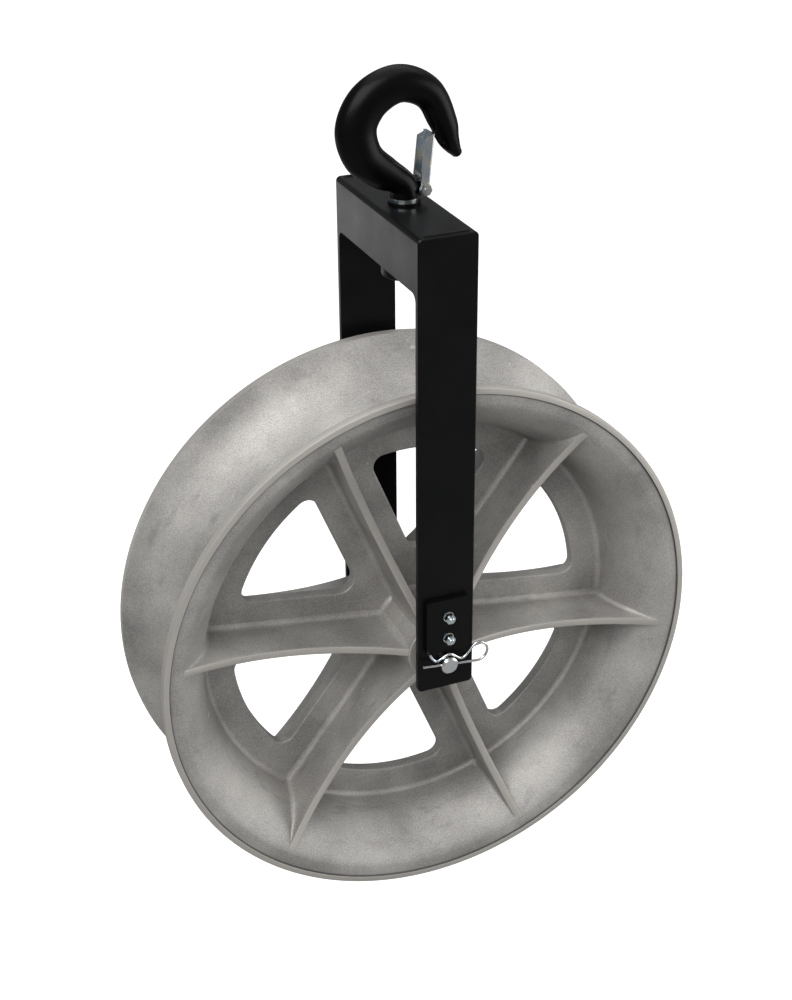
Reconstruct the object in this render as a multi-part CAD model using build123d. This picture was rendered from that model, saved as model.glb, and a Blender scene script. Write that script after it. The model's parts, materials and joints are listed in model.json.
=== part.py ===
from build123d import *
import os
from math import cos, radians, sin, sqrt

# Stringing block, 24 in size class.  Millimetres, +Z up.
# Origin: centre of the sheave on the axle line.  Axle runs along Y, the line runs along X,
# and the suspension hook stands over the sheave on the Z axis, opening toward +X.

# ---- sheave ----
SHEAVE_R = 305.0            # outside radius of the rim lips
SHEAVE_HALF_W = 86.5        # half of the overall rim width
LIP_LAND = 10.0             # axial width of each lip's outer land
LIP_FACE = 6.5              # radial width of each lip's machined end face
LIP_STEP = 1.0              # step from the machined face down to the cast surface
GROOVE_DEPTH = 57.0         # from lip to groove bottom
SHELL_T = 8.0               # wall of the groove shell at the web
SHELL_ARC_R = 98.2          # radius of the cast inner surface of the shell
SHELL_FLARE_Y = 82.5        # where the cast arc turns into the lip
WEB_T = 14.0
RIB_COUNT = 6
RIB_START_DEG = -7.8        # angle of the first rib at rest
RIB_T = 9.0
RIB_ARC_R = 165.0           # radius at which the free edge is lowest
RIB_ARC_Y = 61.0            # height of the free edge there
RIB_END_INSET = 5.5         # free edge at the rim, measured in from the lip face
WINDOW_RIM = 32.0           # flat ring between window and shell
WINDOW_RIB_OFFSET = 33.0    # straight window side from the rib centre line
WINDOW_INNER_FILLET = 18.0
WINDOW_OUTER_FILLET = 15.0
HUB_R = 34.0
HUB_HALF_W = 88.0
HUB_BORE_R = 17.0           # relief bore between the bearings
ROOT_FILLET = 6.0
WINDOW_EDGE = 2.0           # rounding of the window edges

# ---- axle and sealed bearings, 19.05 x 41.275 x 11.11 ----
PIN_R = 9.525
PIN_FIT = 0.03
PIN_HOLE_CLEAR = 0.4        # radial clearance of the pin in the side plates
PIN_HEAD_R = 15.0
PIN_HEAD_T = 6.0
PIN_STICK_OUT = 13.0        # pin end beyond the near side plate
PIN_CHAMFER = 1.5
BRG_R = 20.6375
BRG_W = 11.1125
BRG_INSET = 4.0             # bearing face below the hub face
BRG_RING_T = 2.6
BRG_RACE_GAP = 0.05
BALL_COUNT = 9
BALL_R = 3.1
CAGE_T = 1.2
SEAL_T = 0.6
SNAP_T = 1.3
SNAP_DEPTH = 1.2
SNAP_LAND = 2.2
SPACER_WALL = 4.0
SIDE_GAP = 0.3              # running gap between spacer and side plate

# ---- frame ----
BAR_W = 63.5
BAR_T = 6.35
BAR_CORNER = 5.0
BAR_EDGE = 1.2
FRAME_HALF_Y = 108.0        # over the side plates
LEG_BOTTOM = -34.0
FRAME_TOP = 476.0
FLANGE_H = 57.0
FLANGE_FILLET = 9.0
TOP_BEND = 5.0
WELD_R = 2.0

# ---- keeper plate ----
KEEPER_HALF_W = 24.5
KEEPER_BOTTOM = 14.0
KEEPER_TOP = 79.0
KEEPER_T = 6.0
KEEPER_CHAMFER = 4.0        # lower corners
KEEPER_CORNER_R = 2.5       # upper corners
KEEPER_ARCH_R = 18.0
BOLT_Z = (32.5, 58.5)
BOLT_R = 3.0
BOLT_CLEAR = 0.3
BOLT_HEAD_R = 5.8
BOLT_HEAD_T = 3.6
NUT_AF = 10.0
NUT_T = 6.0
NUT_COLLAR_R = 4.3
NUT_COLLAR_T = 1.6
BOLT_TIP = 1.5
WASHER_R = 6.0
WASHER_T = 1.2

# ---- spring clip ----
CLIP_WIRE_R = 1.4
CLIP_TILT = 6.2             # degrees that the clip's leg hangs down toward +X
CLIP_PLATE_GAP = 0.6
CLIP_LEG_BACK = 29.5
CLIP_LEG_FRONT = 33.0
CLIP_LOOP_R = 11.3
CLIP_HOLE_CLEAR = 0.15
CLIP_TOP_LEG = ((26.5, 19.0), (14.0, 5.6))      # curled leg from the loop to the pin, along and up
CLIP_TOP_TAIL = ((-14.5, 5.6), (-24.0, 14.5))   # and from the pin to its turned-up end
CLIP_END_DIRECTIONS = ((-1.0, 0.0), (-0.6, 0.8))

# ---- hook ----
SHANK_R = 12.5
SHANK_CLEAR = 0.6
WASHER_TOP_R = 16.5
WASHER_TOP_T = 3.0
RING_R = 13.8
RING_T = 3.3
NECK_R = 14.5
NECK_H = 7.0
BOWL_X = -4.9
BOWL_Z = 551.5
BOWL_R = 43.2               # centre line of the forging round the bowl

# ---- swivel stack under the top plate ----
BLOCK_R = 24.0
BLOCK_T = 11.5
RACE_R = 24.0
RACE_T = 4.0
THRUST_BALL_R = 3.5
THRUST_BALLS = 14
THRUST_PITCH_R = 18.5
THRUST_GAP = 0.05
NUT_BIG_R = 24.0
NUT_BIG_T = 44.35
NUT_BIG_EDGE = 3.0
LOCK_PIN_R = 2.5

# ---- latch ----
PIVOT_X = 18.0
PIVOT_Z = 490.0
LUG_R = 7.5
LUG_HALF_T = 5.0
LATCH_PIN_R = 3.0
CHEEK_R = 5.6
LATCH_FIT = 0.05
LATCH_LEN = 55.0
LATCH_SHEET = 1.8
LATCH_HALF_W = 10.5
LATCH_DEPTH = 10.0
LATCH_LEAN = 6.0            # degrees from vertical toward +X at rest
LATCH_NUT_T = 4.0
LATCH_WASHER_T = 1.0
LATCH_WASHER_GAP = 0.1
SPRING_WIRE_R = 0.5
SPRING_COIL_R = 3.9
SPRING_TURNS = 3

TINY = 0.01


def cyl_y(radius, y_low, y_high, x=0.0, z=0.0):
    """Solid cylinder along Y between two Y values."""
    lo, hi = min(y_low, y_high), max(y_low, y_high)
    return Pos(x, (lo + hi) / 2, z) * Rot(90, 0, 0) * Cylinder(radius, hi - lo)


def tube_y(r_in, r_out, y_a, y_b, x=0.0, z=0.0):
    """Plain bush along Y between two Y values."""
    lo, hi = min(y_a, y_b), max(y_a, y_b)
    return cyl_y(r_out, lo, hi, x, z) - cyl_y(r_in, lo - 1, hi + 1, x, z)


def cyl_z(radius, z_low, z_high, x=0.0, y=0.0):
    return Pos(x, y, (z_low + z_high) / 2) * Cylinder(radius, z_high - z_low)


def tube_z(r_in, r_out, z_low, z_high):
    return cyl_z(r_out, z_low, z_high) - cyl_z(r_in, z_low - 1, z_high + 1)


def box(x0, x1, y0, y1, z0, z1):
    return Pos((x0 + x1) / 2, (y0 + y1) / 2, (z0 + z1) / 2) * Box(x1 - x0, y1 - y0, z1 - z0)


def polar(radius, deg, y=0.0):
    """Point in the sheave plane at an angle from +X toward +Z."""
    return (radius * cos(radians(deg)), y, radius * sin(radians(deg)))


def about_y(deg):
    """Turn about the axle, from +X toward +Z."""
    return Rot(0, -deg, 0)


# ---------------------------------------------------------------- sheave
groove_bottom_r = SHEAVE_R - GROOVE_DEPTH
land_y = SHEAVE_HALF_W - LIP_LAND
groove_arc_r = (land_y ** 2 + GROOVE_DEPTH ** 2) / (2 * GROOVE_DEPTH)
groove_arc_c = groove_bottom_r + groove_arc_r
rib_end_y = SHEAVE_HALF_W - RIB_END_INSET


def shell_inner_r(y):
    """Inside radius of the groove shell at an axial position."""
    return groove_bottom_r - SHELL_T + SHELL_ARC_R - sqrt(SHELL_ARC_R ** 2 - y ** 2)


def shell_profile():
    """Section of rim and groove in (radius, axial) coordinates."""
    y_cast = SHEAVE_HALF_W - LIP_STEP
    r_face = SHEAVE_R - LIP_FACE
    flare_r = shell_inner_r(SHELL_FLARE_Y)
    lip = [(SHEAVE_R, land_y), (SHEAVE_R, SHEAVE_HALF_W), (r_face, SHEAVE_HALF_W), (r_face, y_cast),
           (flare_r, SHELL_FLARE_Y)]
    with BuildLine() as outline:
        Polyline(*lip)
        ThreePointArc((flare_r, SHELL_FLARE_Y), (shell_inner_r(0), 0), (flare_r, -SHELL_FLARE_Y))
        Polyline(*[(r, -y) for r, y in reversed(lip)])
        ThreePointArc((SHEAVE_R, -land_y), (groove_bottom_r, 0), (SHEAVE_R, land_y))
    return make_face(outline.line)


def revolve_y(face):
    """Revolve a (radius, axial) face drawn in the XY plane about the Y axis."""
    return revolve(face, axis=Axis.Y, revolution_arc=360)


def window():
    """One rounded triangular window cutter, centred on +X."""
    outer = shell_inner_r(0) - WINDOW_RIM
    apex = WINDOW_RIB_OFFSET / sin(radians(180 / RIB_COUNT))
    half = radians(180 / RIB_COUNT)
    reach = 2 * outer
    tri = Polyline((apex, 0), (apex + reach * cos(half), reach * sin(half)),
                   (apex + reach * cos(half), -reach * sin(half)), close=True)
    face = make_face(tri) & Circle(outer)
    corners = face.vertices().sort_by(Axis.X)
    face = fillet(corners[0], WINDOW_INNER_FILLET)
    outer_corners = face.vertices().group_by(Axis.X)[-1]
    face = fillet(outer_corners, WINDOW_OUTER_FILLET)
    solid = extrude(face, amount=WEB_T, both=True)
    return Rot(90, 0, 0) * solid


def rib_blade():
    """Both blades of one rib, in the XY plane (radius, axial), about the mid-plane."""
    end_r = shell_inner_r(rib_end_y)
    hub_y = HUB_HALF_W - 1.0
    hub_r = HUB_R - 2.0
    r_mid = (shell_inner_r(0) + groove_bottom_r) / 2
    half_y = rib_end_y / 2
    inside = shell_inner_r(half_y) + SHELL_T / 2
    with BuildLine() as edge:
        ThreePointArc((hub_r, hub_y), (RIB_ARC_R, RIB_ARC_Y), (end_r, rib_end_y))
        Polyline((end_r, rib_end_y), (end_r + SHELL_T / 2, rib_end_y - 1), (inside, half_y), (r_mid, 0),
                 (hub_r, 0), (hub_r, hub_y))
    half = extrude(make_face(edge.line), amount=RIB_T / 2, both=True)
    return half + mirror(half, about=Plane.XZ)


def ring_edges(body, radius):
    """Circular edges of a turned body at one radius, on the two faces of the web."""
    rims = []
    for edge in body.edges().filter_by(GeomType.CIRCLE):
        on_web = abs(abs(edge.center().Y) - WEB_T / 2) < TINY
        if on_web and abs(edge.radius - radius) < 1:
            rims.append(edge)
    return rims


def window_edges(body):
    """Edges of the windows on the two faces of the web."""
    outer = shell_inner_r(0) - WINDOW_RIM
    rims = []
    for edge in body.edges():
        mid = edge @ 0.5
        if abs(abs(mid.Y) - WEB_T / 2) < TINY and HUB_R + ROOT_FILLET < Vector(mid.X, mid.Z).length < outer + 1:
            rims.append(edge)
    return rims


def make_sheave():
    web_r = shell_inner_r(0)
    body = revolve_y(shell_profile())
    body += cyl_y((web_r + groove_bottom_r) / 2, -WEB_T / 2, WEB_T / 2)
    body += cyl_y(HUB_R, -HUB_HALF_W, HUB_HALF_W)
    body = fillet(ring_edges(body, web_r) + ring_edges(body, HUB_R), ROOT_FILLET)
    cutter = window()
    for i in range(RIB_COUNT):
        body -= about_y(RIB_START_DEG + (i + 0.5) * 360 / RIB_COUNT) * cutter
    body = fillet(window_edges(body), WINDOW_EDGE)
    blade = rib_blade()
    for i in range(RIB_COUNT):
        body += about_y(RIB_START_DEG + i * 360 / RIB_COUNT) * blade
    body -= cyl_y(HUB_BORE_R, -HUB_HALF_W - 1, HUB_HALF_W + 1)
    for side in (-1, 1):
        seat_in = side * (HUB_HALF_W - BRG_INSET - BRG_W)
        body -= cyl_y(BRG_R, seat_in, side * (HUB_HALF_W + 1))
        groove_in = side * (HUB_HALF_W - BRG_INSET)
        body -= cyl_y(BRG_R + SNAP_DEPTH, groove_in, groove_in + side * SNAP_T)
    return body


# ---------------------------------------------------------------- bearings and axle
bearing_out_y = HUB_HALF_W - BRG_INSET
bearing_in_y = bearing_out_y - BRG_W
bearing_mid_y = (bearing_out_y + bearing_in_y) / 2
inner_ring_r = PIN_R + PIN_FIT + BRG_RING_T
outer_ring_r = BRG_R - BRG_RING_T
ball_pitch_r = (inner_ring_r + outer_ring_r) / 2
leg_in_y = FRAME_HALF_Y - BAR_T


def ball_track():
    """Ring-shaped groove that the balls run in."""
    track = Torus(ball_pitch_r, BALL_R + BRG_RACE_GAP)
    return Rot(90, 0, 0) * track


def make_outer_ring(side):
    ring = tube_y(outer_ring_r, BRG_R, side * bearing_in_y, side * bearing_out_y)
    return ring - Pos(0, side * bearing_mid_y, 0) * ball_track()


def make_inner_ring(side):
    ring = tube_y(PIN_R + PIN_FIT, inner_ring_r, side * bearing_in_y, side * bearing_out_y)
    return ring - Pos(0, side * bearing_mid_y, 0) * ball_track()


def make_balls(side):
    balls = []
    for i in range(BALL_COUNT):
        balls.append(Pos(*polar(ball_pitch_r, i * 360 / BALL_COUNT, side * bearing_mid_y)) * Sphere(BALL_R))
    return Compound(children=balls)


def make_cage(side):
    """Flat pressed ring with a pocket for each ball."""
    y_mid = side * bearing_mid_y
    half_h = BALL_R + CAGE_T
    cage = tube_y(ball_pitch_r - CAGE_T / 2, ball_pitch_r + CAGE_T / 2, y_mid - half_h, y_mid + half_h)
    for i in range(BALL_COUNT):
        pocket = Pos(ball_pitch_r, y_mid, 0) * Rot(0, 90, 0) * Cylinder(BALL_R + BRG_RACE_GAP, 4 * CAGE_T)
        cage -= about_y(i * 360 / BALL_COUNT) * pocket
    return cage


def make_seals():
    """Shields pressed into the outer rings, one on each face of each bearing."""
    seals = []
    for side in (-1, 1):
        for face, inward in ((bearing_out_y, -1), (bearing_in_y, 1)):
            y_face = side * face
            y_back = side * (face + inward * SEAL_T)
            seals.append(tube_y(inner_ring_r + 0.3, outer_ring_r, y_face, y_back))
    return Compound(children=seals)


def make_snap_rings():
    rings = []
    for side in (-1, 1):
        y_in = side * bearing_out_y
        ring = tube_y(BRG_R - SNAP_LAND, BRG_R + SNAP_DEPTH, y_in, y_in + side * SNAP_T)
        gap = box(-SNAP_LAND, SNAP_LAND, -FRAME_HALF_Y, FRAME_HALF_Y, -BRG_R * 2, 0)
        rings.append(ring - gap)
    return Compound(children=rings)


def make_spacer_tube():
    return tube_y(PIN_R + PIN_FIT, PIN_R + SPACER_WALL, -bearing_in_y, bearing_in_y)


def make_side_spacer(side):
    return tube_y(PIN_R + PIN_FIT, PIN_R + SPACER_WALL, side * bearing_out_y, side * (leg_in_y - SIDE_GAP))


clip_y = -(FRAME_HALF_Y + KEEPER_T + CLIP_PLATE_GAP + CLIP_WIRE_R)


def clip_place():
    return Pos(0, clip_y, 0) * Rot(0, CLIP_TILT, 0)


def make_axle_pin():
    end_y = -(FRAME_HALF_Y + PIN_STICK_OUT)
    pin = cyl_y(PIN_R, end_y, FRAME_HALF_Y + TINY)
    pin = chamfer(pin.edges().group_by(Axis.Y)[0], PIN_CHAMFER)
    head = cyl_y(PIN_HEAD_R, FRAME_HALF_Y, FRAME_HALF_Y + PIN_HEAD_T)
    head = fillet(head.edges().group_by(Axis.Y)[-1], PIN_CHAMFER)
    hole = clip_place() * Rot(0, 90, 0) * Cylinder(CLIP_WIRE_R + CLIP_HOLE_CLEAR, 4 * PIN_R)
    return pin + head - hole


def make_r_clip():
    """Spring clip: straight leg through the pin, curled leg over it, loop on the +X side."""
    loop_top = 2 * CLIP_LOOP_R
    rise = PIN_R + 2 * CLIP_WIRE_R
    with BuildLine() as path:
        Line((-CLIP_LEG_BACK, 0), (CLIP_LEG_FRONT, 0))
        ThreePointArc((CLIP_LEG_FRONT, 0), (CLIP_LEG_FRONT + CLIP_LOOP_R, CLIP_LOOP_R),
                      (CLIP_LEG_FRONT, loop_top))
        Spline((CLIP_LEG_FRONT, loop_top), *CLIP_TOP_LEG, (0, rise), *CLIP_TOP_TAIL,
               tangents=CLIP_END_DIRECTIONS)
    start = Plane(origin=(-CLIP_LEG_BACK, 0, 0), z_dir=(1, 0, 0))
    wire = sweep(start * Circle(CLIP_WIRE_R), path=path.line)
    return clip_place() * Rot(90, 0, 0) * wire


# ---------------------------------------------------------------- frame
def make_leg(side):
    """Flat-bar side plate with rounded lower corners and a hole for the axle pin."""
    bar = box(-BAR_W / 2, BAR_W / 2, leg_in_y, FRAME_HALF_Y, LEG_BOTTOM, FRAME_TOP)
    bar = fillet(bar.edges().filter_by(Axis.Y), BAR_CORNER)
    bar = chamfer(bar.faces().sort_by(Axis.Y)[-1].edges(), BAR_EDGE)
    bar -= cyl_y(PIN_R + PIN_HOLE_CLEAR, 0, 2 * FRAME_HALF_Y)
    if side > 0:
        return bar
    bar = mirror(bar, about=Plane.XZ)
    for z in BOLT_Z:
        bar -= cyl_y(BOLT_R + BOLT_CLEAR, -2 * FRAME_HALF_Y, 0, 0, z)
    return bar


def flange_outline():
    """Side flange of the top channel in (Y, Z), with curved corners down onto the side plates."""
    low = FRAME_TOP - FLANGE_H
    start = leg_in_y - FLANGE_FILLET
    dip = low - FLANGE_FILLET
    turn = FLANGE_FILLET * (1 - cos(radians(45)))
    with BuildLine() as line:
        Polyline((-leg_in_y, dip), (-leg_in_y, FRAME_TOP), (leg_in_y, FRAME_TOP), (leg_in_y, dip))
        ThreePointArc((leg_in_y, dip), (leg_in_y - turn, low - turn), (start, low))
        Line((start, low), (-start, low))
        ThreePointArc((-start, low), (-leg_in_y + turn, low - turn), (-leg_in_y, dip))
    return make_face(line.line)


def make_frame_top():
    """Inverted channel between the side plates."""
    solid = extrude(Plane.YZ * flange_outline(), amount=BAR_W / 2, both=True)
    solid = fillet(solid.edges().filter_by(Axis.Y).group_by(Axis.Z)[-1], TOP_BEND)
    hollow = box(-BAR_W / 2 + BAR_T, BAR_W / 2 - BAR_T, -2 * leg_in_y, 2 * leg_in_y,
                 LEG_BOTTOM, FRAME_TOP - BAR_T)
    return solid - hollow - cyl_z(SHANK_R + SHANK_CLEAR, FRAME_TOP - 2 * BAR_T, FRAME_TOP + 1)


def make_weld_beads():
    """Bead over each joint between the channel and a side plate."""
    beads = []
    for side in (-1, 1):
        bead = Pos(0, side * leg_in_y, FRAME_TOP) * Rot(0, 90, 0) * Cylinder(WELD_R, BAR_W - 4 * BAR_CORNER)
        beads.append(bead & box(-BAR_W, BAR_W, -FRAME_HALF_Y, FRAME_HALF_Y, FRAME_TOP, FRAME_TOP + WELD_R))
    return Compound(children=beads)


# ---------------------------------------------------------------- keeper plate
def make_keeper_plate():
    plate = box(-KEEPER_HALF_W, KEEPER_HALF_W, -FRAME_HALF_Y - KEEPER_T, -FRAME_HALF_Y,
                KEEPER_BOTTOM, KEEPER_TOP)
    plate = chamfer(plate.edges().filter_by(Axis.Y).group_by(Axis.Z)[0], KEEPER_CHAMFER)
    plate = fillet(plate.edges().filter_by(Axis.Y).group_by(Axis.Z)[-1], KEEPER_CORNER_R)
    plate -= cyl_y(KEEPER_ARCH_R, -2 * FRAME_HALF_Y, 0)
    for z in BOLT_Z:
        plate -= cyl_y(BOLT_R + BOLT_CLEAR, -2 * FRAME_HALF_Y, 0, 0, z)
    return plate


keeper_face_y = -(FRAME_HALF_Y + KEEPER_T)
nut_back_y = keeper_face_y - WASHER_T


def make_keeper_bolts():
    bolts = []
    for z in BOLT_Z:
        head = cyl_y(BOLT_HEAD_R, -leg_in_y, -leg_in_y + BOLT_HEAD_T, 0, z)
        head = fillet(head.edges().group_by(Axis.Y)[-1], BOLT_HEAD_T / 2)
        shank = cyl_y(BOLT_R, -leg_in_y + TINY, nut_back_y - NUT_T - NUT_COLLAR_T - BOLT_TIP, 0, z)
        shank = chamfer(shank.edges().group_by(Axis.Y)[0], BOLT_R / 5)
        bolts.append(head + shank)
    return Compound(children=bolts)


def make_keeper_nuts():
    nuts = []
    for z in BOLT_Z:
        sketch = RegularPolygon(NUT_AF / 2, 6, major_radius=False)
        hexagon = Pos(0, nut_back_y, z) * Rot(90, 0, 0) * extrude(sketch, amount=NUT_T)
        collar_y = nut_back_y - NUT_T
        collar = cyl_y(NUT_COLLAR_R, collar_y - NUT_COLLAR_T, collar_y + TINY, 0, z)
        bore = cyl_y(BOLT_R, nut_back_y - 2 * NUT_T, nut_back_y + 1, 0, z)
        nuts.append(hexagon + collar - bore)
    return Compound(children=nuts)


def make_keeper_washers():
    return Compound(children=[tube_y(BOLT_R + BOLT_CLEAR, WASHER_R, nut_back_y, keeper_face_y, 0, z)
                              for z in BOLT_Z])


# ---------------------------------------------------------------- swivel stack
neck_low = FRAME_TOP + WASHER_TOP_T + RING_T
block_low = FRAME_TOP - BAR_T - BLOCK_T
race_up_low = block_low - RACE_T
ball_gap = 2 * THRUST_BALL_R - 2 * (THRUST_BALL_R - 2.4)
race_down_top = race_up_low - ball_gap
race_down_low = race_down_top - RACE_T
nut_low = race_down_low - NUT_BIG_T
thrust_mid_z = (race_up_low + race_down_top) / 2


def thrust_track():
    return Pos(0, 0, thrust_mid_z) * Torus(THRUST_PITCH_R, THRUST_BALL_R + THRUST_GAP)


def make_swivel_block():
    return tube_z(SHANK_R + SHANK_CLEAR, BLOCK_R, block_low, FRAME_TOP - BAR_T)


def make_thrust_race_upper():
    return tube_z(SHANK_R + SHANK_CLEAR, RACE_R, race_up_low, block_low) - thrust_track()


def make_thrust_race_lower():
    return tube_z(SHANK_R + PIN_FIT, RACE_R, race_down_low, race_down_top) - thrust_track()


def thrust_positions():
    step = 360 / THRUST_BALLS
    return [(THRUST_PITCH_R * cos(radians(i * step)), THRUST_PITCH_R * sin(radians(i * step)))
            for i in range(THRUST_BALLS)]


def make_thrust_balls():
    return Compound(children=[Pos(x, y, thrust_mid_z) * Sphere(THRUST_BALL_R) for x, y in thrust_positions()])


def make_thrust_cage():
    cage = tube_z(SHANK_R + 2 * SHANK_CLEAR, RACE_R - 1, thrust_mid_z - CAGE_T / 2, thrust_mid_z + CAGE_T / 2)
    for x, y in thrust_positions():
        cage -= Pos(x, y, thrust_mid_z) * Sphere(THRUST_BALL_R + THRUST_GAP)
    return cage


def make_shank_nut():
    nut = cyl_z(NUT_BIG_R, nut_low, race_down_low)
    nut = fillet(nut.edges().group_by(Axis.Z)[0], NUT_BIG_EDGE)
    nut -= cyl_z(SHANK_R, nut_low - 1, race_down_low + 1)
    return nut - cyl_y(LOCK_PIN_R, -2 * NUT_BIG_R, 2 * NUT_BIG_R, 0, nut_low + NUT_BIG_T / 3)


def make_lock_pin():
    half = NUT_BIG_R - 1.5
    return cyl_y(LOCK_PIN_R, -half, half, 0, nut_low + NUT_BIG_T / 3)


def make_top_washer():
    return tube_z(SHANK_R + PIN_FIT, WASHER_TOP_R, FRAME_TOP + SIDE_GAP, FRAME_TOP + WASHER_TOP_T)


def make_swivel_collar():
    return tube_z(SHANK_R + PIN_FIT, RING_R, FRAME_TOP + WASHER_TOP_T, neck_low)


# ---------------------------------------------------------------- hook
def bowl_point(deg):
    return (BOWL_X + BOWL_R * cos(radians(deg)), BOWL_Z + BOWL_R * sin(radians(deg)))


# Sections of the forging: centre (x, z), direction of travel in degrees, half width, half depth.
neck_top = neck_low + NECK_H
HOOK_SECTIONS = (
    ((0.0, neck_top), 90, NECK_R, NECK_R),
    ((-4.5, neck_top + 7.5), 118, 15.0, 14.7),
    ((-21.0, neck_top + 18.7), 138, 17.0, 15.0),
    ((-42.5, neck_top + 37.0), 119, 20.0, 16.0),
    ((-50.0, BOWL_Z + 3.5), 91, 21.5, 16.5),
    (bowl_point(135), 45, 20.8, 16.5),
    (bowl_point(90), 0, 18.7, 16.5),
    (bowl_point(45), -45, 16.2, 15.5),
    ((41.0, BOWL_Z + 1.5), -76, 14.6, 14.0),
    ((48.8, BOWL_Z - 18.0), -66, 11.8, 12.0),
    ((56.0, BOWL_Z - 31.5), -60, 6.0, 7.5),
)


def make_hook():
    sections = []
    for (x, z), deg, half_w, half_d in HOOK_SECTIONS:
        travel = (cos(radians(deg)), 0, sin(radians(deg)))
        across = (sin(radians(deg)), 0, -cos(radians(deg)))
        sections.append(Plane(origin=(x, 0, z), x_dir=across, z_dir=travel) * Ellipse(half_w, half_d))
    forging = loft(sections)
    shank = cyl_z(SHANK_R, nut_low + 2, neck_low + 1)
    neck = cyl_z(NECK_R, neck_low, neck_top + TINY)
    lug = cyl_y(LUG_R, -LUG_HALF_T, LUG_HALF_T, PIVOT_X, PIVOT_Z)
    root = box(PIVOT_X - 2 * LUG_R, PIVOT_X, -LUG_HALF_T, LUG_HALF_T, PIVOT_Z - LUG_R, PIVOT_Z + LUG_R)
    hook = forging + neck + shank + lug + root
    hook -= cyl_y(LATCH_PIN_R + LATCH_FIT, -2 * LUG_R, 2 * LUG_R, PIVOT_X, PIVOT_Z)
    return hook - cyl_y(LOCK_PIN_R, -2 * SHANK_R, 2 * SHANK_R, 0, nut_low + NUT_BIG_T / 3)


# ---------------------------------------------------------------- latch
def at_latch():
    """Latch frame: origin on the pivot, local X outward across the throat, local Z along the latch."""
    return Pos(PIVOT_X, 0, PIVOT_Z) * Rot(0, LATCH_LEAN, 0)


def make_latch():
    """Pressed channel: two cheeks on the pivot pin and a web that closes the throat."""
    out_x = LATCH_DEPTH / 2
    channel = box(-out_x, out_x, -LATCH_HALF_W, LATCH_HALF_W, 0, LATCH_LEN)
    channel = fillet(channel.edges().filter_by(Axis.Z).group_by(Axis.X)[-1], LATCH_SHEET)
    inner_y = LATCH_HALF_W - LATCH_SHEET
    channel -= box(-2 * out_x, out_x - LATCH_SHEET, -inner_y, inner_y, -1, LATCH_LEN + 1)
    channel -= box(0, 2 * out_x, -inner_y, inner_y, -1, LUG_R + 2)
    channel -= Pos(-out_x, 0, LATCH_LEN) * Rot(0, -30, 0) * Box(out_x * 2, 4 * LATCH_HALF_W, out_x * 2)
    latch = channel
    for side in (-1, 1):
        latch += cyl_y(CHEEK_R, side * inner_y, side * LATCH_HALF_W)
    latch -= cyl_y(LATCH_PIN_R + LATCH_FIT, -2 * LATCH_HALF_W, 2 * LATCH_HALF_W)
    return at_latch() * latch


def make_latch_pin():
    """Small shoulder bolt: head on the far side, nut on the near side."""
    head_y = LATCH_HALF_W + LATCH_WASHER_GAP + LATCH_WASHER_T
    shank = cyl_y(LATCH_PIN_R, -(head_y + LATCH_NUT_T + 1), head_y + TINY, PIVOT_X, PIVOT_Z)
    head = cyl_y(1.8 * LATCH_PIN_R, head_y, head_y + 0.8 * LATCH_PIN_R, PIVOT_X, PIVOT_Z)
    head = fillet(head.edges().group_by(Axis.Y)[-1], 0.3 * LATCH_PIN_R)
    return shank + head


def make_latch_nut():
    y_back = -(LATCH_HALF_W + LATCH_WASHER_GAP + LATCH_WASHER_T)
    sketch = RegularPolygon(1.7 * LATCH_PIN_R, 6, major_radius=False)
    nut = Pos(PIVOT_X, y_back, PIVOT_Z) * Rot(90, 0, 0) * extrude(sketch, amount=LATCH_NUT_T)
    return nut - cyl_y(LATCH_PIN_R, y_back - 10, y_back + 1, PIVOT_X, PIVOT_Z)


def make_latch_washers():
    washers = []
    for side in (-1, 1):
        low = side * (LATCH_HALF_W + LATCH_WASHER_GAP)
        washers.append(tube_y(LATCH_PIN_R, 2.2 * LATCH_PIN_R, low, low + side * LATCH_WASHER_T, PIVOT_X, PIVOT_Z))
    return Compound(children=washers)


def make_latch_spring():
    """Torsion spring on the pivot pin, one coil beside the hook lug, with two short arms."""
    pitch = (LATCH_HALF_W - LATCH_SHEET - LUG_HALF_T - 4 * SPRING_WIRE_R) / SPRING_TURNS
    helix = Helix(pitch=pitch, height=pitch * SPRING_TURNS, radius=SPRING_COIL_R)
    profile = Plane(origin=helix @ 0, z_dir=helix % 0) * Circle(SPRING_WIRE_R)
    coil = sweep(profile, path=helix, is_frenet=True)
    start_y = -(LUG_HALF_T + 2 * SPRING_WIRE_R)
    return Pos(PIVOT_X, start_y, PIVOT_Z) * Rot(90, 0, 0) * coil


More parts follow.
